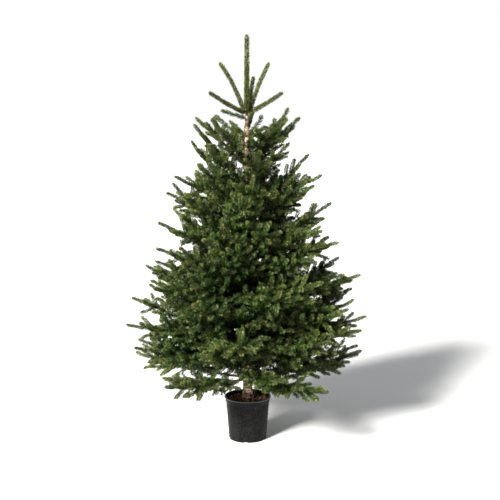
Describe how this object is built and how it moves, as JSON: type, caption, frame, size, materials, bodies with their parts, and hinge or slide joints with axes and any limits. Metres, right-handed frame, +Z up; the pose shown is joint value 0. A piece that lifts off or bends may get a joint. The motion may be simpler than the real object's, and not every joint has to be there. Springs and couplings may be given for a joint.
{
  "type": "potted christmas tree",
  "caption": "Young conical spruce in a plain round nursery pot: one straight trunk, whorls of rising boughs with fans of short needles, and a long single leader.",
  "frame": {"origin": "centre of the pot's flat underside", "axes": "+Z up along the trunk, -Y towards the tree's front, +X to the right seen from the front"},
  "size_m": [1.2065, 1.2099, 2.047],
  "materials": {
    "pot": "satin",
    "soil": "matte",
    "bark": "matte",
    "foliage": "matte",
    "young_foliage": "matte"
  },
  "bodies": {
    "root": {"bough_1_1": "bark", "bough_1_2": "bark", "bough_1_3": "bark", "bough_1_4": "bark", "bough_1_5": "bark", "bough_2_1": "bark", "bough_2_2": "bark", "bough_2_3": "bark", "bough_2_4": "bark", "bough_2_5": "bark", "bough_3_1": "bark", "bough_3_2": "bark", "bough_3_3": "bark", "bough_3_4": "bark", "bough_3_5": "bark", "bough_4_1": "bark", "bough_4_2": "bark", "bough_4_3": "bark", "bough_4_4": "bark", "bough_4_5": "bark", "foliage_1_1": "foliage", "foliage_1_2": "foliage", "foliage_1_3": "foliage", "foliage_1_4": "foliage", "foliage_1_5": "foliage", "foliage_2_1": "foliage", "foliage_2_2": "foliage", "foliage_2_3": "foliage", "foliage_2_4": "foliage", "foliage_2_5": "foliage", "foliage_3_1": "foliage", "foliage_3_2": "foliage", "foliage_3_3": "foliage", "foliage_3_4": "foliage", "foliage_3_5": "foliage", "foliage_4_1": "foliage", "foliage_4_2": "foliage", "foliage_4_3": "foliage", "foliage_4_4": "foliage", "foliage_4_5": "foliage", "foliage_5_1": "foliage", "foliage_5_2": "foliage", "foliage_5_3": "foliage", "foliage_5_4": "foliage", "foliage_5_5": "foliage", "foliage_6_1": "foliage", "foliage_6_2": "foliage", "foliage_6_3": "foliage", "foliage_6_4": "foliage", "foliage_6_5": "foliage", "leader_needles": "young_foliage", "pot": "pot", "root_ball": "soil", "top_shoot_1": "young_foliage", "top_shoot_2": "young_foliage", "top_shoot_3": "young_foliage", "top_shoot_4": "young_foliage", "top_shoot_5": "young_foliage", "top_shoot_6": "young_foliage", "trunk": "bark"}
  },
  "joints": []
}
